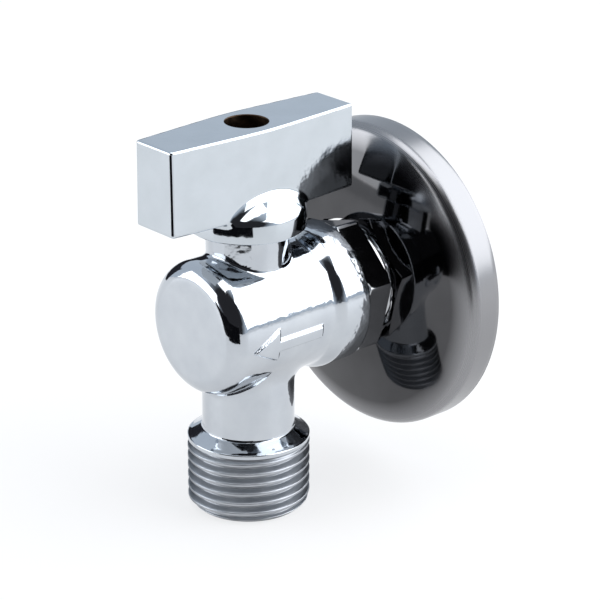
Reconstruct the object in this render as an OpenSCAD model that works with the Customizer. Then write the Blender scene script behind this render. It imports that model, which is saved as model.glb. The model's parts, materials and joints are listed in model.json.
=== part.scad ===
// Angle stop valve, quarter turn, with a lever handle, a wall rosette and two male pipe threads.
// Millimetres. The origin is on the inlet axis at the wall plane: +Y runs into the wall, +Z is up,
// and the outlet points down. Distances along Y inside the valve are counted from the stem axis.

/* [Layout] */
// Distance from the wall to the axis of stem and outlet
stem_to_wall = 32.5; // [31.5:0.5:36]
// Height of the handle's top face above the inlet axis
handle_top = 33.9; // [33:0.1:38]
// Depth of the outlet's end face below the inlet axis
outlet_end = 34.6; // [34:0.1:40]

/* [Pipe threads] */
// Crest diameter of the G1/2 threads
thread_d = 20.955; // [20.8:0.005:21.1]
// Pitch of the G1/2 threads
thread_pitch = 1.814; // [1.8:0.001:1.83]
// Bore of both waterways
waterway_d = 11; // [8:0.5:12]
// Crests on the inlet thread
inlet_crests = 10; // [8:1:12]
// Crests on the outlet thread
outlet_crests = 6; // [5:1:6]

/* [Body] */
// Diameter of the barrel
barrel_d = 23.2; // [23:0.1:24.4]
// Diameter of the collar at the barrel's open end
collar_d = 25.1; // [24.6:0.1:26]
// Rounding of the barrel's closed end
nose_round = 3; // [1:0.1:3.2]
// Diameter of the stem boss
boss_d = 14; // [13.4:0.1:14.2]
// Diameter of the outlet neck
neck_d = 15.8; // [15:0.1:16.5]

/* [Connector] */
// Width of the hexagon across its flats
hex_flats = 21.8; // [21:0.1:22]
// Turn of the hexagon about the inlet axis, where the thread stopped
hex_turn = 14.5; // [0:0.5:60]

/* [Rosette] */
// Outer diameter of the rosette
rosette_d = 54.6; // [50:0.1:60]
// Radius of the rosette's shallow dome
rosette_dome_r = 85; // [80:1:95]
// Sheet thickness of the rosette
rosette_sheet = 0.6; // [0.5:0.1:0.8]
// Depth of the straight rim at the wall
rim_depth = 4; // [3.5:0.1:4.5]

/* [Handle] */
// Length of the lever bar
lever_l = 39.2; // [36:0.1:44]
// Thickness of the bar at its ends
lever_end_w = 9.2; // [8.5:0.1:9.6]
// Thickness of the bar in the middle
lever_mid_w = 11.7; // [11:0.1:12.5]
// Height of the bar
lever_h = 14.6; // [14:0.1:14.8]
// Diameter of the skirt under the bar
skirt_d = 20; // [19:0.1:21]
// Diameter of the screw hole in the top face
screw_hole_d = 7.5; // [7.2:0.1:8]

/* [Ball] */
// Diameter of the ball
ball_d = 15; // [14.6:0.1:15.2]
// Bore of the ball's two ports
port_d = 8.6; // [7:0.1:8.8]

/* [Hidden] */
$fn = 96;
eps = 0.01;

chrome_tint = [0.80, 0.83, 0.87];
ptfe_tint = [0.94, 0.94, 0.91];
rubber_tint = [0.09, 0.09, 0.10];
steel_tint = [0.62, 0.62, 0.64];
rosette_tint = [0.45, 0.45, 0.48];

// Gaps: a turning fit, a loose fit, and the gap between ball and seat
turn_gap = 0.05;
loose_gap = 0.35;
seat_gap = 0.04;

// Threads, as rings of the true crest diameter, depth and pitch
thread_r = thread_d / 2;
thread_depth = 1.1;
crest_flat = 0.3;

// Body: stations along Y from the stem axis
nose_y = -12.6;
cavity_front = -9.3;
cavity_rear = 8.2;
ramp_start = 9;
ramp_end = 11.8;
joint_y = 16.8;
barrel_r = barrel_d / 2;
collar_r = collar_d / 2;
cavity_r = 8;
plug_r = 9;

// Body: levels along Z
boss_top = 17.6;
shoulder_top = -20.4;
shoulder_low = -21.8;
outlet_thread_top = -22.5;
outlet_tip_r = 9.2;
outlet_bore_top = -10;
outlet_tip_h = 0.9;

// Connector
hex_rear = 22;
hex_bevel = 0.7;
relief_l = 2.7;
inlet_tip_l = 0.9;
inlet_thread_start = hex_rear + relief_l;
inlet_end = inlet_thread_start + inlet_crests * thread_pitch + inlet_tip_l;
hex_r = hex_flats / 2 / cos(30);

// Ball and seats
ball_r = ball_d / 2;
seat_bore_r = 4.9;
seat_face_y = 5;
slot_w = 3;
slot_floor = 5.4;

// Stem
stem_r = 4;
flange_r = 5.6;
flange_low = 8.2;
flange_top = 9.6;
washer_top = 10.2;
o_ring_wire_r = 0.55;
o_ring_mid_r = stem_r - o_ring_wire_r + 0.02;
o_ring_groove_r = 2.9;
o_ring_groove_w = 1.5;
o_ring_levels = [12.1, 14.8];
square_w = 5.6;
square_low = 18;
stem_top = 22.4;
screw_r = 1.95;
screw_hole_floor = 15.2;

// Handle
lever_low = handle_top - lever_h;
skirt_low = 15.8;
skirt_top = 19.3;
skirt_r = skirt_d / 2;
dome_centre_z = 11.2;
dome_r = norm([skirt_r, skirt_top - dome_centre_z]);
socket_top = 22.6;
web_top = 24.4;
counterbore_top = 18;

// Stop: a lug on the boss in a curved slot under the skirt, a quarter turn apart
stop_in_r = 4.9;
stop_out_r = 6.7;
stop_height = 1.2;
lug_angle = 24;
lug_at = -135;
stop_play = 0.5;

// Raised flow arrow on the barrel's side
arrow_l = 15;
arrow_head_l = 5.5;
arrow_head_h = 5.6;
arrow_bar_h = 2;
arrow_tilt = -7;
arrow_proud = 0.5;

// Points of an arc about [r, t], from angle a to angle b
function arc(centre, radius, a, b, steps = 8) =
    [for (i = [0:steps]) let (k = a + (b - a) * i / steps)
        centre + radius * [cos(k), sin(k)]];

// One side of a row of thread crests, as [radius, distance] points from start onwards
function crests(count, start, way = 1) =
    [for (i = [0:count - 1]) let (t = start + way * i * thread_pitch) each [
        [thread_r - thread_depth, t + way * 0.1],
        [thread_r, t + way * (thread_pitch - crest_flat) / 2],
        [thread_r, t + way * (thread_pitch + crest_flat) / 2],
        [thread_r - thread_depth, t + way * (thread_pitch - 0.1)]]];

// Turn a [radius, distance] profile about the inlet axis, distance counted from the stem axis
module about_inlet(profile) {
    translate([0, -stem_to_wall, 0]) rotate([-90, 0, 0]) rotate_extrude() polygon(profile);
}

// A plain round bar or bore along Y
module along_inlet(radius, from, to) {
    translate([0, from - stem_to_wall, 0]) rotate([-90, 0, 0]) cylinder(r = radius, h = to - from);
}

// A plain round bar or bore along Z on the stem axis
module along_stem(radius, from, to) {
    translate([0, -stem_to_wall, from]) cylinder(r = radius, h = to - from);
}

// A curved block about the stem axis, from angle a over a sweep
module stem_sector(inner, outer, low, high, a, sweep) {
    translate([0, -stem_to_wall, low]) rotate([0, 0, a])
        rotate_extrude(angle = sweep) translate([inner, 0]) square([outer - inner, high - low]);
}

// Soft ramp from the barrel up to the collar, as [radius, distance] points
function collar_ramp(steps = 6) =
    [for (i = [0:steps]) let (t = i / steps)
        [barrel_r + (collar_r - barrel_r) * t * t * (3 - 2 * t),
         ramp_start + (ramp_end - ramp_start) * t]];

module barrel() {
    about_inlet(concat(
        [[0, joint_y], [0, nose_y]],
        arc([barrel_r - nose_round, nose_y + nose_round], nose_round, -90, 0),
        collar_ramp(),
        [[collar_r, joint_y - 0.3], [collar_r - 0.3, joint_y]]));
}

module outlet_spigot() {
    translate([0, -stem_to_wall, 0]) rotate_extrude() polygon(concat(
        [[0, 0], [neck_d / 2, 0], [neck_d / 2, shoulder_top],
         [thread_r - 0.3, shoulder_low], [thread_r, shoulder_low - 0.3],
         [thread_r, outlet_thread_top]],
        crests(outlet_crests, outlet_thread_top, -1),
        [[outlet_tip_r, outlet_tip_h - outlet_end], [outlet_tip_r, -outlet_end], [0, -outlet_end]]));
}

// Flow arrow, pointing away from the wall, raised from the barrel
module flow_arrow() {
    intersection() {
        along_inlet(barrel_r + arrow_proud, nose_y + nose_round, ramp_start);
        translate([0, -stem_to_wall - 1, 0]) rotate([0, -arrow_tilt, 0]) rotate([90, 0, 90])
            linear_extrude(collar_r) polygon([
                [-arrow_l / 2, 0], [-arrow_l / 2 + arrow_head_l, arrow_head_h / 2],
                [-arrow_l / 2 + arrow_head_l, arrow_bar_h / 2], [arrow_l / 2, arrow_bar_h / 2],
                [arrow_l / 2, -arrow_bar_h / 2], [-arrow_l / 2 + arrow_head_l, -arrow_bar_h / 2],
                [-arrow_l / 2 + arrow_head_l, -arrow_head_h / 2]]);
    }
}

module body() {
    color(chrome_tint) difference() {
        union() {
            barrel();
            outlet_spigot();
            along_stem(boss_d / 2, 0, boss_top);
            stem_sector(stop_in_r, stop_out_r, boss_top - eps, boss_top + stop_height,
                lug_at - lug_angle / 2, lug_angle);
            flow_arrow();
        }
        along_inlet(cavity_r, cavity_front, cavity_rear + eps);
        along_inlet(plug_r + turn_gap, cavity_rear, joint_y + eps);
        along_stem(waterway_d / 2, -outlet_end - eps, outlet_bore_top);
        along_stem(port_d / 2, outlet_bore_top - eps, 0);
        along_stem(flange_r + loose_gap, 0, washer_top);
        along_stem(stem_r + turn_gap, 0, boss_top + stop_height + eps);
    }
}

module inlet_connector() {
    color(chrome_tint) difference() {
        union() {
            about_inlet([[0, cavity_rear], [plug_r - 0.4, cavity_rear], [plug_r, cavity_rear + 0.4],
                [plug_r, joint_y - 2], [plug_r - 1.02, joint_y - 2],
                [plug_r - 1.02, joint_y - 0.8], [plug_r, joint_y - 0.8], [plug_r, joint_y],
                [0, joint_y]]);
            intersection() {
                translate([0, joint_y - stem_to_wall, 0]) rotate([-90, 0, 0])
                    rotate([0, 0, -hex_turn]) cylinder(r = hex_r, h = hex_rear - joint_y, $fn = 6);
                about_inlet([[0, joint_y], [hex_r - hex_bevel, joint_y],
                    [hex_r, joint_y + hex_bevel / 2], [hex_r, hex_rear - hex_bevel / 2],
                    [hex_r - hex_bevel, hex_rear], [0, hex_rear]]);
            }
            about_inlet(concat(
                [[0, hex_rear - eps], [thread_r - thread_depth, hex_rear - eps]],
                crests(inlet_crests, inlet_thread_start),
                [[thread_r - thread_depth, inlet_end], [0, inlet_end]]));
        }
        along_inlet(waterway_d / 2, cavity_rear - eps, inlet_end + eps);
    }
}

module connector_o_ring() {
    color(rubber_tint) translate([0, joint_y - 1.4 - stem_to_wall, 0]) rotate([-90, 0, 0])
        rotate_extrude() translate([plug_r - 0.5, 0]) circle(r = 0.5);
}

// A seat ring: flat at the back, hollowed to the ball on its inner face
module seat_ring(back, face) {
    color(ptfe_tint) difference() {
        along_inlet(cavity_r - 0.1, min(back, face), max(back, face));
        along_inlet(seat_bore_r, min(back, face) - eps, max(back, face) + eps);
        translate([0, -stem_to_wall, 0]) sphere(r = ball_r + seat_gap);
    }
}

module front_seat() seat_ring(cavity_front, -seat_face_y);

module rear_seat() seat_ring(cavity_rear, seat_face_y);

module ball() {
    color(chrome_tint) difference() {
        translate([0, -stem_to_wall, 0]) sphere(r = ball_r);
        along_inlet(port_d / 2, 0, ball_r + 1);
        along_stem(port_d / 2, -ball_r - 1, 0);
        translate([0, -stem_to_wall, 0]) sphere(r = port_d / 2);
        translate([-slot_w / 2, -stem_to_wall - ball_r, slot_floor]) cube([slot_w, ball_d, ball_r]);
    }
}

// Blow-out-proof stem: tongue, flange, two O-ring grooves, square and tapped hole
module stem() {
    color(steel_tint) difference() {
        union() {
            translate([0, -stem_to_wall, 0]) {
                translate([-slot_w / 2 + 0.1, -3.8, slot_floor + 0.1])
                    cube([slot_w - 0.2, 7.6, flange_low - slot_floor]);
                translate([-square_w / 2, -square_w / 2, square_low - eps])
                    cube([square_w, square_w, stem_top - square_low + eps]);
            }
            along_stem(flange_r, flange_low, flange_top);
            translate([0, -stem_to_wall, 0]) rotate_extrude() polygon(concat(
                [[0, flange_top - eps], [stem_r, flange_top - eps]],
                [for (z = o_ring_levels) each [
                    [stem_r, z - o_ring_groove_w / 2], [o_ring_groove_r, z - o_ring_groove_w / 2],
                    [o_ring_groove_r, z + o_ring_groove_w / 2], [stem_r, z + o_ring_groove_w / 2]]],
                [[stem_r, square_low], [0, square_low]]));
        }
        along_stem(screw_r + turn_gap, screw_hole_floor, stem_top + eps);
    }
}

module thrust_washer() {
    color(ptfe_tint) difference() {
        along_stem(flange_r, flange_top, washer_top);
        along_stem(stem_r + turn_gap, flange_top - eps, washer_top + eps);
    }
}

module stem_o_ring(level) {
    color(rubber_tint) translate([0, -stem_to_wall, level])
        rotate_extrude() translate([o_ring_mid_r, 0]) circle(r = o_ring_wire_r);
}

module lower_stem_o_ring() stem_o_ring(o_ring_levels[0]);

module upper_stem_o_ring() stem_o_ring(o_ring_levels[1]);

// Half thickness of the bar at a distance along it: a shallow bow on both long sides
function lever_half_w(along) =
    (lever_mid_w - (lever_mid_w - lever_end_w) * pow(2 * along / lever_l, 2)) / 2;

module lever_bar() {
    steps = 12;
    side = [for (i = [0:steps]) let (y = lever_l * (i / steps - 0.5)) [lever_half_w(y), y]];
    translate([0, -stem_to_wall, lever_low]) linear_extrude(lever_h)
        polygon(concat(side, [for (i = [steps:-1:0]) [-side[i][0], side[i][1]]]));
}

// Lever bar on a round skirt, which is closed by a dome under the bar
module handle() {
    color(chrome_tint) difference() {
        union() {
            lever_bar();
            translate([0, -stem_to_wall, 0]) rotate_extrude() polygon(concat(
                [[0, skirt_low], [skirt_r, skirt_low]],
                arc([0, dome_centre_z], dome_r,
                    atan2(skirt_top - dome_centre_z, skirt_r), 90)));
        }
        along_stem(screw_hole_d / 2, web_top, handle_top + eps);
        along_stem(screw_r + 0.25, socket_top - eps, web_top + eps);
        along_stem(boss_d / 2 + loose_gap, skirt_low - eps, counterbore_top);
        translate([-square_w / 2 - turn_gap, -square_w / 2 - turn_gap - stem_to_wall, skirt_low])
            cube([square_w + 2 * turn_gap, square_w + 2 * turn_gap, socket_top - skirt_low]);
        stem_sector(stop_in_r - 0.2, stop_out_r + 0.2, skirt_low, boss_top + stop_height + 0.2,
            lug_at - lug_angle / 2 - stop_play, lug_angle + 90 + 2 * stop_play);
    }
}

module screw_washer() {
    color(steel_tint) difference() {
        along_stem(3.5, web_top, web_top + 0.5);
        along_stem(screw_r + 0.15, web_top - eps, web_top + 0.5 + eps);
    }
}

// Pan-head screw with a cross recess
module handle_screw() {
    head_low = web_top + 0.5;
    head_top = head_low + 2.4;
    color(steel_tint) difference() {
        union() {
            along_stem(screw_r, head_low - 9, head_low + eps);
            translate([0, -stem_to_wall, 0]) rotate_extrude() polygon(concat(
                [[0, head_low], [3.4, head_low]],
                arc([2.2, head_top - 1.2], 1.2, 0, 90, 5), [[0, head_top]]));
        }
        for (turn = [0, 90]) translate([0, -stem_to_wall, head_top]) rotate([0, 0, turn])
            cube([3.8, 0.9, 2.6], center = true);
    }
}

// Pressed sheet rosette: shallow dome, round shoulder and a straight rim down to the wall
module rosette() {
    rim_r = rosette_d / 2;
    bend_r = 2.2;
    bend_r_in = bend_r - rosette_sheet;
    bend_at = [rim_r - bend_r, -rim_depth];
    hole_r = thread_r + 0.5;
    hole_at = asin(hole_r / rosette_dome_r);
    // Where dome and shoulder meet smoothly, and the centre of the dome's curve
    dome_end = asin(bend_at[0] / (rosette_dome_r - bend_r));
    centre = [0, bend_at[1] + (rosette_dome_r - bend_r) * cos(dome_end)];
    inner_dome_r = rosette_dome_r - rosette_sheet;
    color(rosette_tint) rotate([-90, 0, 0]) rotate_extrude() polygon(concat(
        arc(centre, rosette_dome_r, -90 + hole_at, -90 + dome_end, 6),
        arc(bend_at, bend_r, -90 + dome_end, 0, 6),
        [[rim_r, 0], [rim_r - rosette_sheet, 0]],
        arc(bend_at, bend_r_in, 0, -90 + dome_end, 6),
        arc(centre, inner_dome_r, -90 + dome_end, -90 + hole_at, 6)));
}

body();
inlet_connector();
connector_o_ring();
front_seat();
rear_seat();
ball();
stem();
thrust_washer();
lower_stem_o_ring();
upper_stem_o_ring();
handle();
screw_washer();
handle_screw();
rosette();
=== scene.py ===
"""Looks of the angle stop valve: smooth plated meshes, procedural metals, a white studio table.

Shapes are worked out in millimetres about the stem axis, then placed in the frame in metres.
"""

import json
import math

import bmesh
import bpy
import numpy as np
from mathutils import Matrix, Vector


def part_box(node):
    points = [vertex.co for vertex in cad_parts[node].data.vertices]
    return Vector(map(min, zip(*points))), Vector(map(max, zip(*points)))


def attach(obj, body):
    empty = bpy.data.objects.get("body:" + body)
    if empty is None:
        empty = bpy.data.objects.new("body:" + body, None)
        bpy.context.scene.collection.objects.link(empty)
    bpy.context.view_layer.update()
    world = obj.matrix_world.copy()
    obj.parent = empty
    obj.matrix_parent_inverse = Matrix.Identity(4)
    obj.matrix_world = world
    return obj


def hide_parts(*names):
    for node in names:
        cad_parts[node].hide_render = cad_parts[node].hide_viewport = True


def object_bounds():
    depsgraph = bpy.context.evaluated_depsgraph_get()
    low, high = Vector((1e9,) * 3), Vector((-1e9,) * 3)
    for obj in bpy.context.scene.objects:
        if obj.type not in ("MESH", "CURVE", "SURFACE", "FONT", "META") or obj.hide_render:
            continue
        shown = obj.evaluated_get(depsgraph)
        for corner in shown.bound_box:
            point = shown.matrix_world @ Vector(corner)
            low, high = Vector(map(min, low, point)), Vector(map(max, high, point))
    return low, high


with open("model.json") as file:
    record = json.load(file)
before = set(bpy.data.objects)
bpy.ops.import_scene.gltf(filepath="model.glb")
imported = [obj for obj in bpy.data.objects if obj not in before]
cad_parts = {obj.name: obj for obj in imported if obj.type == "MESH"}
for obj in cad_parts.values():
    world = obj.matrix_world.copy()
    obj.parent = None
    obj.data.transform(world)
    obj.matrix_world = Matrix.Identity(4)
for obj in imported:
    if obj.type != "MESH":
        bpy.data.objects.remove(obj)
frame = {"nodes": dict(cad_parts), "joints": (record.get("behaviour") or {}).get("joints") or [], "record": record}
cad_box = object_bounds()

MM = 0.001
TAU = 2 * math.pi


def box_mm(node):
    """Lowest and highest corner of a CAD node, in millimetres."""
    low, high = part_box(node)
    return np.array(low) / MM, np.array(high) / MM


joints = {joint["name"]: joint for joint in frame["joints"]}
mounts = {mount["name"]: mount for mount in frame["record"]["mounts"]}

# Where things are: the stem axis, and the boxes of the pieces that are rebuilt here
STEM_Y = joints["lever_turn"]["pos_m"][1] / MM
BODY_LOW, BODY_HIGH = box_mm("body")
LEVER_LOW, LEVER_HIGH = box_mm("handle")
LINK_HIGH = box_mm("inlet_connector")[1]
PLATE_HIGH = box_mm("rosette")[1]

# Threads
CREST_R = mounts["outlet_thread"]["dims"]["r_mm"]
WATER_R = mounts["outlet_waterway"]["dims"]["r_mm"]
PITCH = 1.814
THREAD_DEPTH = 1.1
CREST_HALF = 0.2
ROOT_HALF = 0.1

# Body, distances along Y from the stem axis
NOSE = BODY_LOW[1] - STEM_Y
JOINT = BODY_HIGH[1] - STEM_Y
COLLAR_R = BODY_HIGH[0]
BARREL_R = 11.6
NOSE_ROUND = 3.2
NOSE_CROWN = 0.3
RAMP = (9.0, 11.8)
CAVITY = (-9.3, 8.2)
CAVITY_R = 8
PLUG_R = 9
GAP = 0.05
BOSS_R = 7
BOSS_TOP = 17.6
FLANGE_BORE_R = 5.95
FLANGE_TOP = 10.2
STEM_R = 4
LUG_R = (4.9, 6.7)
LUG_AT = math.radians(-135)
LUG_HALF = math.radians(12)
LUG_TOP = BODY_HIGH[2]
NECK_R = 7.9
NECK_EASE = 0.12
NECK_EASE_L = 0.5
NECK_CUT = -19.0
SHOULDER = (-20.4, -21.8)
THREAD_TOP = -22.5
OUTLET_END = BODY_LOW[2]
TIP_R = 9.2
TIP_SLOPE = 1.1
BORE_TOP = -10
PORT_R = 4.3
BODY_GRID = 0.34

# Flow arrow on the barrel's side
ARROW_L = 15
ARROW_HEAD_L = 5.5
ARROW_HEAD_H = 5.6
ARROW_BAR_H = 2
ARROW_MID = -1
ARROW_TURN = math.radians(-7)
ARROW_PROUD = 0.5

# Handle
LEVER_L = LEVER_HIGH[1] - LEVER_LOW[1]
LEVER_TOP = LEVER_HIGH[2]
SKIRT_LOW = LEVER_LOW[2]
SKIRT_R = LEVER_HIGH[0]
LEVER_UNDER = 19.3
LEVER_END_HALF = 4.6
LEVER_MID_HALF = 5.85
LEVER_SPREAD = 3.0
DRAFT = 0.012
EDGE = 0.45
UPRIGHT_EDGE = 0.5
SKIRT_TOP = 19.3
DOME_MID = 11.2
BELL_FILLET = 0.9
SKIRT_BULGE = 0.04
SCREW_HOLE_R = 3.75
WEB_TOP = 24.4
SOCKET_TOP = 22.6
SOCKET_HALF = 2.85
SCREW_CLEAR_R = 2.2
COUNTER_R = 7.35
COUNTER_TOP = 18
STOP_TOP = 19.0
SLOT_AT = LUG_AT + math.radians(45)
SLOT_HALF = LUG_HALF + math.radians(46.5)
SLOT_GAP = 0.2
LEVER_GRID = 0.27

# Connector: hexagon
HEX_FLATS = 21.8
HEX_REAR = 22.0
HEX_TURN = math.radians(14.5)
HEX_BEVEL = 0.9
HEX_BEVEL_L = 0.45
HEX_CORNER_CUT = 0.12
PLUG_BEVEL = 0.4
INLET_THREAD = 23.8

# Rosette
PLATE_R = PLATE_HIGH[0]
DOME_R = 85
SHEET = 0.6
RIM = 4
BEND = 2.2
HOLE_R = 10.98
LIP_ROUND = 0.1
# Rim blend radii, the rim's paler tone (a painted highlight of the strong light it reflects) and its dullness
RIM_BLEND = (PLATE_R - 4.5, PLATE_R - 1)
RIM_PAINTED_HIGHLIGHT = (0.28, 0.28, 0.29)
RIM_DULLNESS = 0.22


# ---- distance fields: negative inside, in millimetres ---------------------------------------

def round_join(a, b, r):
    """Union of two shapes with a fillet of radius r."""
    pull = np.hypot(np.maximum(r - a, 0), np.maximum(r - b, 0))
    return np.maximum(r, np.minimum(a, b)) - pull


def round_meet(a, b, r):
    """Intersection of two shapes with its edge rounded to radius r."""
    push = np.hypot(np.maximum(r + a, 0), np.maximum(r + b, 0))
    return np.minimum(-r, np.maximum(a, b)) + push


def smooth_step(x):
    """Eases from 0 to 1 as x goes from 0 to 1."""
    t = np.clip(x, 0, 1)
    return t * t * (3 - 2 * t)


def polygon_field(x, y, points):
    """Distance to a flat outline."""
    pts = np.array(points, float)
    best = np.full(np.shape(x), 1e9)
    inside = np.zeros(np.shape(x), bool)
    for (ax, ay), (bx, by) in zip(pts, np.roll(pts, -1, axis=0)):
        ex, ey = bx - ax, by - ay
        t = np.clip(((x - ax) * ex + (y - ay) * ey) / (ex * ex + ey * ey), 0, 1)
        best = np.minimum(best, np.hypot(x - ax - t * ex, y - ay - t * ey))
        crosses = ((ay > y) != (by > y)) & (x < (bx - ax) * (y - ay) / (by - ay + 1e-12) + ax)
        inside ^= crosses
    return np.where(inside, -best, best)


def barrel_radius(y):
    """Barrel radius along Y, with the soft ramp up to the collar."""
    return BARREL_R + (COLLAR_R - BARREL_R) * smooth_step((y - RAMP[0]) / (RAMP[1] - RAMP[0]))


def arrow_field(x, y, z, over):
    """Raised flow arrow that points away from the wall; over is the height above the barrel."""
    along = -(y - ARROW_MID)
    across = BARREL_R * (np.arctan2(z, np.maximum(x, 0.1)) - ARROW_TURN)
    half = ARROW_L / 2
    outline = [
        (half, 0), (half - ARROW_HEAD_L, ARROW_HEAD_H / 2), (half - ARROW_HEAD_L, ARROW_BAR_H / 2),
        (-half, ARROW_BAR_H / 2), (-half, -ARROW_BAR_H / 2), (half - ARROW_HEAD_L, -ARROW_BAR_H / 2),
        (half - ARROW_HEAD_L, -ARROW_HEAD_H / 2),
    ]
    flat = np.where(x > 0, polygon_field(along, across, outline), 9.0)
    return round_meet(flat, over - ARROW_PROUD, 0.25)


def body_field(x, y, z):
    """The forged body, down to the cut through the outlet neck. y counts from the stem axis."""
    around_y = np.hypot(x, z)
    around_z = np.hypot(x, y)
    over = around_y - barrel_radius(y)
    nose = NOSE + NOSE_CROWN * (around_y / BARREL_R) ** 2 - y
    barrel = round_meet(round_meet(over, nose, NOSE_ROUND), y - JOINT, 0.3)
    boss = round_meet(np.maximum(around_z - BOSS_R, -z), z - BOSS_TOP, 0.3)
    neck = np.maximum(around_z - NECK_R, z)
    shape = round_join(round_join(barrel, boss, 0.6), neck, 1.7)
    shape = round_join(shape, arrow_field(x, y, z, around_y - BARREL_R), 0.3)
    turn = np.abs((np.arctan2(y, x) - LUG_AT + math.pi) % TAU - math.pi) - LUG_HALF
    lug = np.maximum.reduce([LUG_R[0] - around_z, around_z - LUG_R[1], turn * around_z,
                             z - LUG_TOP, BOSS_TOP - 1 - z])
    hollow = np.minimum.reduce([
        np.maximum.reduce([around_y - CAVITY_R, CAVITY[0] - y, y - CAVITY[1] - 0.2]),
        np.maximum(around_y - PLUG_R - GAP, CAVITY[1] - y),
        np.maximum(around_z - WATER_R, z - BORE_TOP),
        np.maximum(around_z - PORT_R, z),
        np.maximum.reduce([around_z - FLANGE_BORE_R, -z, z - FLANGE_TOP]),
        np.maximum(around_z - STEM_R - GAP, -z),
    ])
    return np.maximum(np.minimum(shape, lug), -hollow)


def lever_half(y):
    """Half thickness of the bar: two straight tapers that meet in a soft crown."""
    half = LEVER_L / 2
    fall = (np.sqrt(y * y + LEVER_SPREAD ** 2) - LEVER_SPREAD) / (
        math.hypot(half, LEVER_SPREAD) - LEVER_SPREAD)
    return LEVER_MID_HALF - (LEVER_MID_HALF - LEVER_END_HALF) * fall


def lever_field(x, y, z):
    """Bar, skirt and bell of the handle, with its screw hole, socket and stop slot."""
    around = np.hypot(x, y)
    side = np.abs(x) - lever_half(y) + DRAFT * (z - LEVER_UNDER - 4)
    end = np.abs(y) - LEVER_L / 2
    standing = round_meet(side, end, UPRIGHT_EDGE)
    bar = round_meet(round_meet(standing, z - LEVER_TOP, EDGE), LEVER_UNDER - z, EDGE)
    dome = np.hypot(around, z - DOME_MID) - math.hypot(SKIRT_R, SKIRT_TOP - DOME_MID)
    wall = around - SKIRT_R + SKIRT_BULGE * (z - (SKIRT_LOW + SKIRT_TOP) / 2) ** 2
    bell = round_meet(wall, dome, 0.3)
    bell = round_meet(bell, SKIRT_LOW - z, 0.3)
    shape = round_join(bar, bell, BELL_FILLET)
    turn = np.abs((np.arctan2(y, x) - SLOT_AT + math.pi) % TAU - math.pi) - SLOT_HALF
    slot = np.maximum.reduce([LUG_R[0] - SLOT_GAP - around, around - LUG_R[1] - SLOT_GAP,
                              turn * around, z - STOP_TOP])
    hollow = np.minimum.reduce([
        np.maximum(around - SCREW_CLEAR_R, 0 * z - 1),
        np.maximum(around - COUNTER_R, z - COUNTER_TOP),
        np.maximum.reduce([np.abs(x) - SOCKET_HALF, np.abs(y) - SOCKET_HALF, z - SOCKET_TOP]),
        slot,
    ])
    shape = np.maximum(shape, -hollow)
    bore = np.maximum(around - SCREW_HOLE_R, WEB_TOP - z)
    return np.maximum(shape, -bore)


# ---- meshes ---------------------------------------------------------------------------------

def slope(field, points, reach=0.004):
    """Gradient of a field at points."""
    out = np.empty_like(points)
    for axis in range(3):
        ahead, behind = points.copy(), points.copy()
        ahead[:, axis] += reach
        behind[:, axis] -= reach
        out[:, axis] = (field(*ahead.T) - field(*behind.T)) / (2 * reach)
    return out


def settle(field, points, most):
    """Moves points onto the surface where the field is zero."""
    for _ in range(5):
        g = slope(field, points)
        move = -(field(*points.T) / np.maximum((g * g).sum(1), 0.05))[:, None] * g
        length = np.linalg.norm(move, axis=1, keepdims=True)
        points = points + move * np.minimum(1, most / np.maximum(length, 1e-9))
    return points


def skin(field, low, high, step):
    """Quads over the surface of a field: one corner in each grid cell that the surface crosses."""
    axes = [np.arange(a - 1.37 * step, b + 2.4 * step, step) for a, b in zip(low, high)]
    value = field(*np.meshgrid(*axes, indexing="ij"))
    inside = value < 0
    cells = tuple(n - 1 for n in value.shape)
    total, count = np.zeros(cells + (3,)), np.zeros(cells)
    crossings = []
    for axis in range(3):
        order = [axis, (axis + 1) % 3, (axis + 2) % 3]
        v, s = value.transpose(order), inside.transpose(order)
        cross = s[:-1] != s[1:]
        part = np.where(cross, v[:-1] / np.where(cross, v[:-1] - v[1:], 1), 0)
        grid = np.indices(cross.shape).astype(float)
        grid[0] += part
        back = np.argsort(order)
        place = grid[back].transpose([0] + [1 + b for b in back])
        hit = cross.transpose(back)
        for j in (0, 1):
            for k in (0, 1):
                pick = [slice(None)] * 3
                pick[order[1]] = slice(j, j + cells[order[1]])
                pick[order[2]] = slice(k, k + cells[order[2]])
                part_hit = hit[tuple(pick)]
                count += part_hit
                total += np.moveaxis(place[(slice(None),) + tuple(pick)], 0, -1) * part_hit[..., None]
        crossings.append((order, cross, s[:-1]))
    used = count > 0
    index = np.full(cells, -1)
    index[used] = np.arange(used.sum())
    start = np.array([a[0] for a in axes])
    points = total[used] / count[used][:, None] * step + start
    quads = []
    for order, cross, low_inside in crossings:
        ids = index.transpose(order)
        a, b, c = np.nonzero(cross[:, 1:-1, 1:-1])
        b, c = b + 1, c + 1
        ring = np.stack([ids[a, b - 1, c - 1], ids[a, b, c - 1], ids[a, b, c], ids[a, b - 1, c]], 1)
        outward = low_inside[a, b, c]
        ring[~outward] = ring[~outward][:, ::-1]
        quads.append(ring)
    return settle(field, points, 0.8 * step), np.concatenate(quads)


def to_frame(points):
    """Millimetres about the stem axis to metres in the frame."""
    return (np.asarray(points) + (0, STEM_Y, 0)) * MM


def make_piece(name, points, faces, body, slot, material, *nodes):
    """A shaded mesh piece that rides on a body and stands for CAD nodes."""
    mesh = bpy.data.meshes.new(name)
    mesh.from_pydata(to_frame(points).tolist(), [], faces)
    mesh.update()
    mesh.shade_smooth()
    mesh.materials.append(material)
    piece = bpy.data.objects.new(name, mesh)
    bpy.context.scene.collection.objects.link(piece)
    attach(piece, body)
    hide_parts(*nodes)
    return piece


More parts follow.
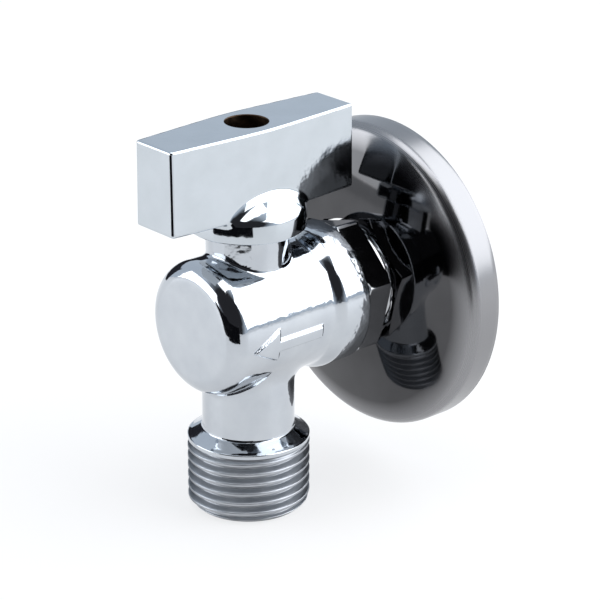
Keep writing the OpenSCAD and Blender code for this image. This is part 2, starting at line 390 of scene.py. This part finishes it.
def loft(rows, angles):
    """Closed loop of rings: each row is (radius at each angle, distance along the axis)."""
    across, count = len(angles), len(rows)
    points = np.array([
        (r * math.cos(t), r * math.sin(t), d)
        for radii, d in rows
        for r, t in zip(np.broadcast_to(radii, across), angles)])
    i, j = np.meshgrid(np.arange(count), np.arange(across), indexing="ij")
    nxt, right = (i + 1) % count, (j + 1) % across
    quads = np.stack([i * across + j, i * across + right, nxt * across + right, nxt * across + j], -1)
    return points, quads.reshape(-1, 4)


def along_y(points):
    """Turns a loft about Z into one about Y, with the same handedness."""
    x, y, z = points.T
    return np.stack([y, z, x], 1)


def thread_depth(angles, d, phase):
    """Depth below the crest of a right-handed thread at each angle, at one distance."""
    turns = (d - phase) / PITCH - np.asarray(angles) / TAU
    off = np.abs((turns + 0.5) % 1 - 0.5) * PITCH
    flank = np.clip((off - CREST_HALF) / (PITCH / 2 - CREST_HALF - ROOT_HALF), 0, 1)
    return THREAD_DEPTH * (0.6 * flank + 0.4 * smooth_step(flank))


def outlet_radius(angles, z):
    """Outer radius of the outlet below the cut: neck, shoulder, land, thread and chamfered tip."""
    if z >= SHOULDER[0]:
        ease = np.clip((SHOULDER[0] + NECK_EASE_L - z) / NECK_EASE_L, 0, 1)
        return NECK_R + NECK_EASE * ease ** 2 + 0 * angles
    if z >= SHOULDER[1]:
        share = (SHOULDER[0] - z) / (SHOULDER[0] - SHOULDER[1])
        start = NECK_R + NECK_EASE
        cone = start + (CREST_R - NECK_EASE - start) * share
        return cone + NECK_EASE * smooth_step((share - 0.8) / 0.2) + 0 * angles
    run_in = smooth_step((THREAD_TOP + 0.15 - z) / 0.9)
    radius = CREST_R - run_in * thread_depth(angles, z, THREAD_TOP - 0.9)
    return np.minimum(radius, TIP_R + TIP_SLOPE * (z - OUTLET_END))


def flip_to_outside(mesh):
    """Turns every face of a closed mesh outwards."""
    bm = bmesh.new()
    bm.from_mesh(mesh)
    bmesh.ops.recalc_face_normals(bm, faces=bm.faces)
    if bm.calc_volume(signed=True) < 0:
        bmesh.ops.reverse_faces(bm, faces=bm.faces)
    bm.to_mesh(mesh)
    bm.free()


def paint(piece, material, chosen):
    """Gives the faces whose centre is chosen a second material. Centres are in millimetres."""
    piece.data.materials.append(material)
    last = len(piece.data.materials) - 1
    for face in piece.data.polygons:
        x, y, z = face.center / MM
        if chosen(x, y - STEM_Y, z):
            face.material_index = last


def sharpen(piece, degrees):
    """Keeps edges steeper than an angle crisp."""
    piece.data.set_sharp_from_angle(angle=math.radians(degrees))


def ordered_ring(bm, radius_low, radius_high):
    """Corners on the cut plane between two radii, by angle about the stem axis."""
    found = [
        v for v in bm.verts
        if abs(v.co.z - NECK_CUT) < 1e-4 and radius_low < math.hypot(v.co.x, v.co.y) < radius_high
    ]
    return sorted(found, key=lambda v: math.atan2(v.co.y, v.co.x))


def grow_tube(bm, ring, rows):
    """Extends an open ring through rows of (radius function, height) and returns the last ring."""
    angles = np.array([math.atan2(v.co.y, v.co.x) for v in ring])
    last = ring
    for radius_at, z in rows:
        radii = radius_at(angles, z)
        fresh = [
            bm.verts.new((r * math.cos(t), r * math.sin(t), z)) for r, t in zip(radii, angles)]
        for j in range(len(ring)):
            k = (j + 1) % len(ring)
            bm.faces.new((last[j], last[k], fresh[k], fresh[j]))
        last = fresh
    return last


def fill_between(bm, outer, inner):
    """Triangles between two open rings whose corners are both in order of angle."""
    turns = []
    for ring in (outer, inner):
        angles = [math.atan2(v.co.y, v.co.x) for v in ring]
        turns.append(angles + [angles[0] + TAU])
    i = j = 0
    while i < len(outer) or j < len(inner):
        a, b = outer[i % len(outer)], inner[j % len(inner)]
        if j == len(inner) or (i < len(outer) and turns[0][i + 1] <= turns[1][j + 1]):
            i += 1
            bm.faces.new((a, outer[i % len(outer)], b))
        else:
            j += 1
            bm.faces.new((a, inner[j % len(inner)], b))


def build_body(material, thread_material):
    """Forged body: fields down to the neck, then turned outlet with a real helical thread."""
    low = (-COLLAR_R, NOSE, NECK_CUT - 1)
    high = (COLLAR_R, JOINT, LUG_TOP)
    points, quads = skin(body_field, low, high, BODY_GRID)
    bm = bmesh.new()
    corners = [bm.verts.new(p) for p in points]
    for quad in quads:
        bm.faces.new([corners[i] for i in quad])
    everything = list(bm.verts) + list(bm.edges) + list(bm.faces)
    bmesh.ops.bisect_plane(bm, geom=everything, dist=1e-4, plane_co=(0, 0, NECK_CUT),
                           plane_no=(0, 0, -1), clear_outer=True)
    on_cut = [v for v in bm.verts if abs(v.co.z - NECK_CUT) < 2e-4]
    bmesh.ops.remove_doubles(bm, verts=on_cut, dist=0.1)
    outer = ordered_ring(bm, WATER_R + 1, CREST_R)
    inner = ordered_ring(bm, 1, WATER_R + 1)
    for ring, radius in ((outer, NECK_R), (inner, WATER_R)):
        for v in ring:
            t = math.atan2(v.co.y, v.co.x)
            v.co = (radius * math.cos(t), radius * math.sin(t), NECK_CUT)
    coarse = np.linspace(NECK_CUT, SHOULDER[0] + NECK_EASE_L, 3)[1:]
    shoulder = np.linspace(SHOULDER[0] + 0.4, THREAD_TOP + 0.2, 24)
    fine = np.linspace(THREAD_TOP + 0.15, OUTLET_END, 170)
    outside = [(outlet_radius, z) for z in np.concatenate([coarse, shoulder, fine])]
    inside = [(lambda t, z: WATER_R + 0 * t, z) for z in np.linspace(NECK_CUT, OUTLET_END + 0.3, 5)[1:]]
    inside.append((lambda t, z: WATER_R + 0.3 + 0 * t, OUTLET_END))
    fill_between(bm, grow_tube(bm, outer, outside), grow_tube(bm, inner, inside))
    bmesh.ops.recalc_face_normals(bm, faces=bm.faces)
    if bm.calc_volume(signed=True) < 0:
        bmesh.ops.reverse_faces(bm, faces=bm.faces)
    mesh = bpy.data.meshes.new("forged")
    bm.to_mesh(mesh)
    bm.free()
    points = np.array([v.co for v in mesh.vertices])
    faces = [list(p.vertices) for p in mesh.polygons]
    normals = np.array([v.normal for v in mesh.vertices])
    bpy.data.meshes.remove(mesh)
    upper = points[:, 2] > NECK_CUT + 0.3
    exact = slope(body_field, points[upper])
    normals[upper] = exact / np.linalg.norm(exact, axis=1, keepdims=True)
    piece = make_piece("body_casting", points, faces, "valve_body", "body_chrome", material, "body")
    piece.data.normals_split_custom_set_from_vertices(normals.tolist())
    paint(piece, thread_material,
          lambda x, y, z: z < THREAD_TOP - 0.3 and math.hypot(x, y) > WATER_R + 1)
    return piece


def build_lever(material, hole_shade_material):
    """Cast handle: bar, bell and skirt blended into one surface."""
    low = (-SKIRT_R, -LEVER_L / 2, SKIRT_LOW)
    high = (SKIRT_R, LEVER_L / 2, LEVER_TOP)
    points, quads = skin(lever_field, low, high, LEVER_GRID)
    normals = slope(lever_field, points, 0.02)
    normals /= np.linalg.norm(normals, axis=1, keepdims=True)
    around = np.hypot(points[:, 0], points[:, 1])
    rim = np.hypot(around - SCREW_HOLE_R, points[:, 2] - LEVER_TOP) < 0.62 * LEVER_GRID
    points[rim, :2] *= (SCREW_HOLE_R / around[rim])[:, None]
    points[rim, 2] = LEVER_TOP
    normals[rim] = (0, 0, 1)
    piece = make_piece(
        "lever_handle", points, quads.tolist(), "lever_group", "handle_chrome", material, "handle")
    piece.data.normals_split_custom_set_from_vertices(normals.tolist())
    # Dark metal inside the screw hole: painted shade of the deep hole
    paint(piece, hole_shade_material,
          lambda x, y, z: SOCKET_TOP < z < LEVER_TOP - 0.02 and math.hypot(x, y) < SCREW_HOLE_R + 0.1)
    return piece


def hex_radius(angles):
    """Radius of the hexagon's side at each angle, its corners slightly turned down."""
    part = (np.asarray(angles) - HEX_TURN) % (TAU / 6) - TAU / 12
    return np.minimum(HEX_FLATS / 2 / np.cos(part), HEX_FLATS / 2 / math.cos(TAU / 12) - HEX_CORNER_CUT)


def build_connector(material):
    """Inlet connector: plug, bevelled hexagon and a helical male thread round one waterway."""
    angles = HEX_TURN + np.linspace(0, TAU, 240, endpoint=False)
    end = LINK_HIGH[1] - STEM_Y
    corner = HEX_FLATS / 2 / math.cos(TAU / 12)
    start = CAVITY[1]
    rows = [(WATER_R, start), (PLUG_R - PLUG_BEVEL, start), (PLUG_R, start + PLUG_BEVEL), (PLUG_R, JOINT)]
    flats = hex_radius(angles)
    for share in np.linspace(0, 1, 7):
        rows.append((np.minimum(flats, corner - HEX_BEVEL * (1 - share)), JOINT + HEX_BEVEL_L * share))
    for share in np.linspace(0, 1, 7):
        rows.append((np.minimum(flats, corner - HEX_BEVEL * share), HEX_REAR - HEX_BEVEL_L * (1 - share)))
    root = CREST_R - THREAD_DEPTH
    rows += [(root + 0.3, HEX_REAR), (root, HEX_REAR + 0.3), (root, INLET_THREAD)]
    for d in np.linspace(INLET_THREAD + 0.05, end, 220):
        cut = CREST_R - thread_depth(angles, d, INLET_THREAD + 1)
        taper = np.minimum(root + 0.9 * (d - INLET_THREAD), root - 0.1 + 1.1 * (end - d))
        rows.append((np.minimum(cut, np.maximum(taper, root - 0.1)), d))
    rows.append((WATER_R, end))
    points, quads = loft(rows, angles)
    piece = make_piece("inlet_fitting", along_y(points), quads.tolist(), "valve_body", "connector_chrome",
                       material, "inlet_connector")
    flip_to_outside(piece.data)
    sharpen(piece, 40)
    return piece


def arc(centre, radius, start, end, steps):
    """Points (radius, distance) along an arc, angles in radians."""
    return [
        (centre[0] + radius * math.cos(t), centre[1] + radius * math.sin(t))
        for t in np.linspace(start, end, steps)]


def build_rosette(material):
    """Pressed sheet rosette: dome, rolled shoulder, straight rim and a rounded hole edge."""
    turn_at = (PLATE_R - BEND, -RIM)
    dome_end = math.asin(turn_at[0] / (DOME_R - BEND))
    centre = (0, turn_at[1] + (DOME_R - BEND) * math.cos(dome_end))
    hole = math.asin(HOLE_R / DOME_R)
    quarter = math.pi / 2
    outside = arc(centre, DOME_R, -quarter + hole, -quarter + dome_end, 40)
    outside += arc(turn_at, BEND, -quarter + dome_end, 0, 18)[1:]
    outside += [(PLATE_R, -RIM * share) for share in (0.75, 0.5, 0.25, 0.03)]
    lip = [(PLATE_R - LIP_ROUND, 0), (PLATE_R - SHEET + LIP_ROUND, 0), (PLATE_R - SHEET, -0.12)]
    inside = arc(turn_at, BEND - SHEET, 0, -quarter + dome_end, 14)
    inside += arc(centre, DOME_R - SHEET, -quarter + dome_end, -quarter + hole, 30)[1:]
    rows = [(r, d - STEM_Y) for r, d in outside + lip + inside]
    points, quads = loft(rows, np.linspace(0, TAU, 288, endpoint=False))
    piece = make_piece("wall_rosette", along_y(points), quads.tolist(), "rosette", "rosette_steel",
                       material, "rosette")
    flip_to_outside(piece.data)
    sharpen(piece, 50)
    return piece


# ---- materials ------------------------------------------------------------------------------

def new_material(name):
    """An empty material, its node tree and its shader."""
    material = bpy.data.materials.new(name)
    material.use_nodes = True
    tree = material.node_tree
    return material, tree, tree.nodes["Principled BSDF"]


def link(tree, source, target):
    """Joins one node's output to another's input."""
    tree.links.new(source, target)


def noise(tree, vector, scale, detail=3.0, rough=0.5):
    """Cloudy pattern from 0 to 1. Scale counts its features per metre."""
    node = tree.nodes.new("ShaderNodeTexNoise")
    node.inputs["Scale"].default_value = scale
    node.inputs["Detail"].default_value = detail
    node.inputs["Roughness"].default_value = rough
    link(tree, vector, node.inputs["Vector"])
    return node.outputs["Fac"]


def spread(tree, fac, low, high):
    """Maps a 0 to 1 pattern onto a range of values."""
    node = tree.nodes.new("ShaderNodeMapRange")
    node.inputs["From Min"].default_value = 0.3
    node.inputs["From Max"].default_value = 0.7
    node.inputs["To Min"].default_value = low
    node.inputs["To Max"].default_value = high
    link(tree, fac, node.inputs["Value"])
    return node.outputs["Result"]


def tint(tree, fac, first, second):
    """Colour between two tints, by a pattern."""
    node = tree.nodes.new("ShaderNodeValToRGB")
    ends = node.color_ramp.elements
    ends[0].position, ends[0].color = 0.3, (*first, 1)
    ends[1].position, ends[1].color = 0.7, (*second, 1)
    link(tree, fac, node.inputs["Fac"])
    return node.outputs["Color"]


def bump(tree, shader, height, strength, distance):
    """Bends the shader's normal by a pattern of heights."""
    node = tree.nodes.new("ShaderNodeBump")
    node.inputs["Strength"].default_value = strength
    node.inputs["Distance"].default_value = distance
    link(tree, height, node.inputs["Height"])
    link(tree, node.outputs["Normal"], shader.inputs["Normal"])


def place(tree):
    """Where a point is on the object, in metres."""
    return tree.nodes.new("ShaderNodeTexCoord").outputs["Object"]


def chrome(name, first, second, rough=(0.045, 0.09), waves=0.05):
    """Chrome plate: slightly cool, with faint cloudiness and the small swell of a cast blank."""
    material, tree, shader = new_material(name)
    where = place(tree)
    shader.inputs["Metallic"].default_value = 1.0
    link(tree, tint(tree, noise(tree, where, 180), first, second), shader.inputs["Base Color"])
    link(tree, spread(tree, noise(tree, where, 420, 5), *rough), shader.inputs["Roughness"])
    bump(tree, shader, noise(tree, where, 420, 2), waves, 0.0004)
    return material


def turned_steel(name):
    """Polished stainless sheet with fine spinning rings and a duller rim; its near-black dome tone is painted
    shade and its paler rim tone a painted highlight.
    """
    material, tree, shader = new_material(name)
    where = place(tree)
    split = tree.nodes.new("ShaderNodeSeparateXYZ")
    link(tree, where, split.inputs["Vector"])
    flat = tree.nodes.new("ShaderNodeCombineXYZ")
    link(tree, split.outputs["X"], flat.inputs["X"])
    link(tree, split.outputs["Z"], flat.inputs["Y"])
    length = tree.nodes.new("ShaderNodeVectorMath")
    length.operation = "LENGTH"
    link(tree, flat.outputs["Vector"], length.inputs[0])
    rings = tree.nodes.new("ShaderNodeCombineXYZ")
    link(tree, length.outputs["Value"], rings.inputs["X"])
    fine = noise(tree, rings.outputs["Vector"], 5200, 4, 0.7)
    shader.inputs["Metallic"].default_value = 1.0
    # Near-black dome tint: painted shade, standing in for the shadowed floor the dome reflects
    dome = tint(tree, noise(tree, where, 90), (0.065, 0.065, 0.068), (0.085, 0.085, 0.089))
    edge = tree.nodes.new("ShaderNodeMapRange")
    edge.inputs["From Min"].default_value = RIM_BLEND[0] * MM
    edge.inputs["From Max"].default_value = RIM_BLEND[1] * MM
    link(tree, length.outputs["Value"], edge.inputs["Value"])
    # Blends the painted dome shade into the painted rim highlight
    painted_shade_to_highlight = tree.nodes.new("ShaderNodeMix")
    painted_shade_to_highlight.data_type = "RGBA"
    link(tree, edge.outputs["Result"], painted_shade_to_highlight.inputs["Factor"])
    link(tree, dome, painted_shade_to_highlight.inputs["A"])
    painted_shade_to_highlight.inputs["B"].default_value = (*RIM_PAINTED_HIGHLIGHT, 1)
    link(tree, painted_shade_to_highlight.outputs["Result"], shader.inputs["Base Color"])
    dull = tree.nodes.new("ShaderNodeMath")
    dull.operation = "MULTIPLY_ADD"
    link(tree, edge.outputs["Result"], dull.inputs[0])
    dull.inputs[1].default_value = RIM_DULLNESS
    link(tree, spread(tree, fine, 0.03, 0.08), dull.inputs[2])
    link(tree, dull.outputs["Value"], shader.inputs["Roughness"])
    bump(tree, shader, fine, 0.04, 0.00001)
    return material


def plain_metal(name, first, second, rough, edge=1.0):
    """Bare or plated turned metal. Edge darkens what it shows at a glancing angle."""
    material, tree, shader = new_material(name)
    where = place(tree)
    shader.inputs["Metallic"].default_value = 1.0
    shader.inputs["Specular Tint"].default_value = (edge, edge, edge, 1)
    link(tree, tint(tree, noise(tree, where, 300), first, second), shader.inputs["Base Color"])
    link(tree, spread(tree, noise(tree, where, 900, 5), *rough), shader.inputs["Roughness"])
    bump(tree, shader, noise(tree, where, 1500, 4), 0.15, 0.00005)
    return material


def soft_plastic(name, first, second, rough):
    """Moulded seal material with a fine grain."""
    material, tree, shader = new_material(name)
    where = place(tree)
    link(tree, tint(tree, noise(tree, where, 400), first, second), shader.inputs["Base Color"])
    link(tree, spread(tree, noise(tree, where, 1200, 5), *rough), shader.inputs["Roughness"])
    bump(tree, shader, noise(tree, where, 2500, 4), 0.2, 0.00005)
    return material


def dress(node, material):
    """Gives a CAD node its material."""
    piece = frame["nodes"][node]
    piece.data.materials.clear()
    piece.data.materials.append(material)
    piece.data.shade_smooth()


# ---- studio ---------------------------------------------------------------------------------

CENTRE = Vector((0, STEM_Y, 0)) * MM
TABLE_Z = cad_box[0].z
TABLE_GAP = 0.05 * MM
TABLE_R = 3.0
VIEW_AZIMUTH = 48.32
VIEW_HEIGHT = 21.98
VIEW_ROLL = math.radians(0.09)
VIEW_DISTANCE = 0.4398
AIM_RIGHT = 8.79 * MM
AIM_UP = 2.2 * MM
CARD_DISTANCE = 0.137


def direction(azimuth, elevation):
    """Unit vector from the object, azimuth 0 towards -Y and 90 towards +X, in degrees."""
    a, e = math.radians(azimuth), math.radians(elevation)
    return Vector((math.sin(a) * math.cos(e), -math.cos(a) * math.cos(e), math.sin(e)))


def add_camera():
    """Camera at the photograph's angle, with a long lens."""
    back = direction(VIEW_AZIMUTH, VIEW_HEIGHT)
    a = math.radians(VIEW_AZIMUTH)
    right = Vector((math.cos(a), math.sin(a), 0))
    up = back.cross(right)
    aim = CENTRE + right * AIM_RIGHT + up * AIM_UP
    data = bpy.data.cameras.new("camera")
    data.lens, data.sensor_width = 156.7, 36
    data.clip_start, data.clip_end = 0.01, 20
    camera = bpy.data.objects.new("camera", data)
    turn = Matrix((right, up, back)).transposed() @ Matrix.Rotation(VIEW_ROLL, 3, "Z")
    camera.matrix_world = Matrix.Translation(aim + back * VIEW_DISTANCE) @ turn.to_4x4()
    bpy.context.scene.collection.objects.link(camera)
    bpy.context.scene.camera = camera


def add_panel(name, azimuth, elevation, distance, width, height, radiance):
    """A soft box that faces the object. Radiance is what a mirror would show of it."""
    data = bpy.data.lights.new(name, "AREA")
    data.shape = "RECTANGLE"
    data.size, data.size_y = width, height
    data.energy = radiance * width * height * math.pi
    lamp = bpy.data.objects.new(name, data)
    away = direction(azimuth, elevation)
    lamp.location = CENTRE + away * distance
    lamp.rotation_mode = "QUATERNION"
    lamp.rotation_quaternion = away.to_track_quat("Z", "Y")
    lamp.visible_camera = False
    bpy.context.scene.collection.objects.link(lamp)


def add_card(name, azimuths, low, high, shade):
    """A dark curved card standing round part of the table, which only reflections see."""
    material, _, shader = new_material(name)
    shader.inputs["Base Color"].default_value = (*shade, 1)
    shader.inputs["Roughness"].default_value = 1.0
    shader.inputs["Specular IOR Level"].default_value = 0.0
    turns = np.linspace(*azimuths, 25)
    feet = [CENTRE + direction(turn, 0) * CARD_DISTANCE for turn in turns]
    corners = [(foot.x, foot.y, z) for z in (low, high) for foot in feet]
    count = len(turns)
    quads = [(i, i + 1, count + i + 1, count + i) for i in range(count - 1)]
    mesh = bpy.data.meshes.new(name)
    mesh.from_pydata(corners, [], quads)
    mesh.materials.append(material)
    card = bpy.data.objects.new(name, mesh)
    card.visible_camera = False
    card.visible_shadow = False
    card.visible_diffuse = False
    bpy.context.scene.collection.objects.link(card)


def add_table():
    """Large pale table top that glows a little, so it stays white and nearly free of shadow."""
    material, tree, shader = new_material("table_white")
    where = place(tree)
    link(tree, tint(tree, noise(tree, where, 3), (0.20, 0.20, 0.20), (0.22, 0.22, 0.22)),
         shader.inputs["Base Color"])
    shader.inputs["Roughness"].default_value = 0.4
    shader.inputs["Specular IOR Level"].default_value = 0.06
    shader.inputs["Emission Color"].default_value = (0.985, 0.99, 1.0, 1)
    shader.inputs["Emission Strength"].default_value = 0.74
    mesh = bpy.data.meshes.new("table")
    bm = bmesh.new()
    bmesh.ops.create_circle(bm, cap_ends=True, radius=TABLE_R, segments=96)
    bm.to_mesh(mesh)
    bm.free()
    mesh.materials.append(material)
    table = bpy.data.objects.new("table", mesh)
    table.location = (0, STEM_Y * MM, TABLE_Z - TABLE_GAP)
    bpy.context.scene.collection.objects.link(table)


def add_world():
    """Cool grey room that is dark behind the camera."""
    world = bpy.data.worlds.new("studio")
    world.use_nodes = True
    tree = world.node_tree
    toward = tree.nodes.new("ShaderNodeVectorMath")
    toward.operation = "DOT_PRODUCT"
    toward.inputs[1].default_value = direction(40, 25)
    where = tree.nodes.new("ShaderNodeTexCoord").outputs["Generated"]
    link(tree, where, toward.inputs[0])
    ramp = tree.nodes.new("ShaderNodeValToRGB")
    stops = ramp.color_ramp.elements
    stops[0].position, stops[0].color = 0.50, (0.64, 0.715, 0.81, 1)
    stops[1].position, stops[1].color = 0.76, (0.03, 0.03, 0.034, 1)
    link(tree, toward.outputs["Value"], ramp.inputs["Fac"])
    link(tree, ramp.outputs["Color"], tree.nodes["Background"].inputs["Color"])
    tree.nodes["Background"].inputs["Strength"].default_value = 1.0
    bpy.context.scene.world = world


add_camera()
add_table()
add_world()
add_panel("softbox_back", 145, 35, 0.6, 1.0, 0.72, 2.6)
add_panel("softbox_left", -34, 17, 0.6, 0.56, 0.36, 2.4)
add_panel("softbox_top", 0, 88, 0.6, 0.45, 0.45, 2.4)
add_card("card_front", (-16, 60), TABLE_Z, 0.020, (0.004, 0.004, 0.005))
add_card("card_left", (-135, -74), -0.004, 0.050, (0.02, 0.02, 0.025))

body_plate = chrome("chrome_body", (0.49, 0.52, 0.56), (0.545, 0.575, 0.61), waves=0.12)
lever_plate = chrome("chrome_lever", (0.515, 0.555, 0.59), (0.55, 0.59, 0.63), (0.05, 0.10), 0.08)
link_plate = chrome("chrome_connector", (0.42, 0.43, 0.45), (0.48, 0.49, 0.51), (0.04, 0.09))
thread_plate = plain_metal("chrome_thread", (0.38, 0.40, 0.43), (0.46, 0.48, 0.51), (0.28, 0.4), 0.35)
# Very dark metal for the handle's screw hole: painted shade of the hole
hole_shade_metal = plain_metal("screw_hole_painted_shade", (0.035, 0.024, 0.018), (0.11, 0.07, 0.045), (0.3, 0.5))
build_body(body_plate, thread_plate)
build_lever(lever_plate, hole_shade_metal)
build_connector(link_plate)
build_rosette(turned_steel("steel_rosette"))

ptfe = soft_plastic("ptfe_white", (0.86, 0.86, 0.83), (0.92, 0.92, 0.90), (0.35, 0.5))
rubber = soft_plastic("rubber_black", (0.012, 0.012, 0.013), (0.03, 0.03, 0.032), (0.45, 0.65))
brass = plain_metal("brass_turned", (0.62, 0.45, 0.20), (0.74, 0.56, 0.29), (0.18, 0.34))
zinc = plain_metal("zinc_steel", (0.30, 0.25, 0.20), (0.42, 0.36, 0.29), (0.25, 0.45))
ball_plate = chrome("chrome_ball", (0.66, 0.68, 0.70), (0.70, 0.72, 0.74), (0.02, 0.05), 0.01)
for seal in ("connector_o_ring", "lower_stem_o_ring", "upper_stem_o_ring"):
    dress(seal, rubber)
for ring in ("front_seat", "rear_seat", "thrust_washer"):
    dress(ring, ptfe)
for steel in ("screw_washer", "handle_screw"):
    dress(steel, zinc)
dress("stem", brass)
dress("ball", ball_plate)

bpy.context.scene.view_settings.view_transform = "Standard"
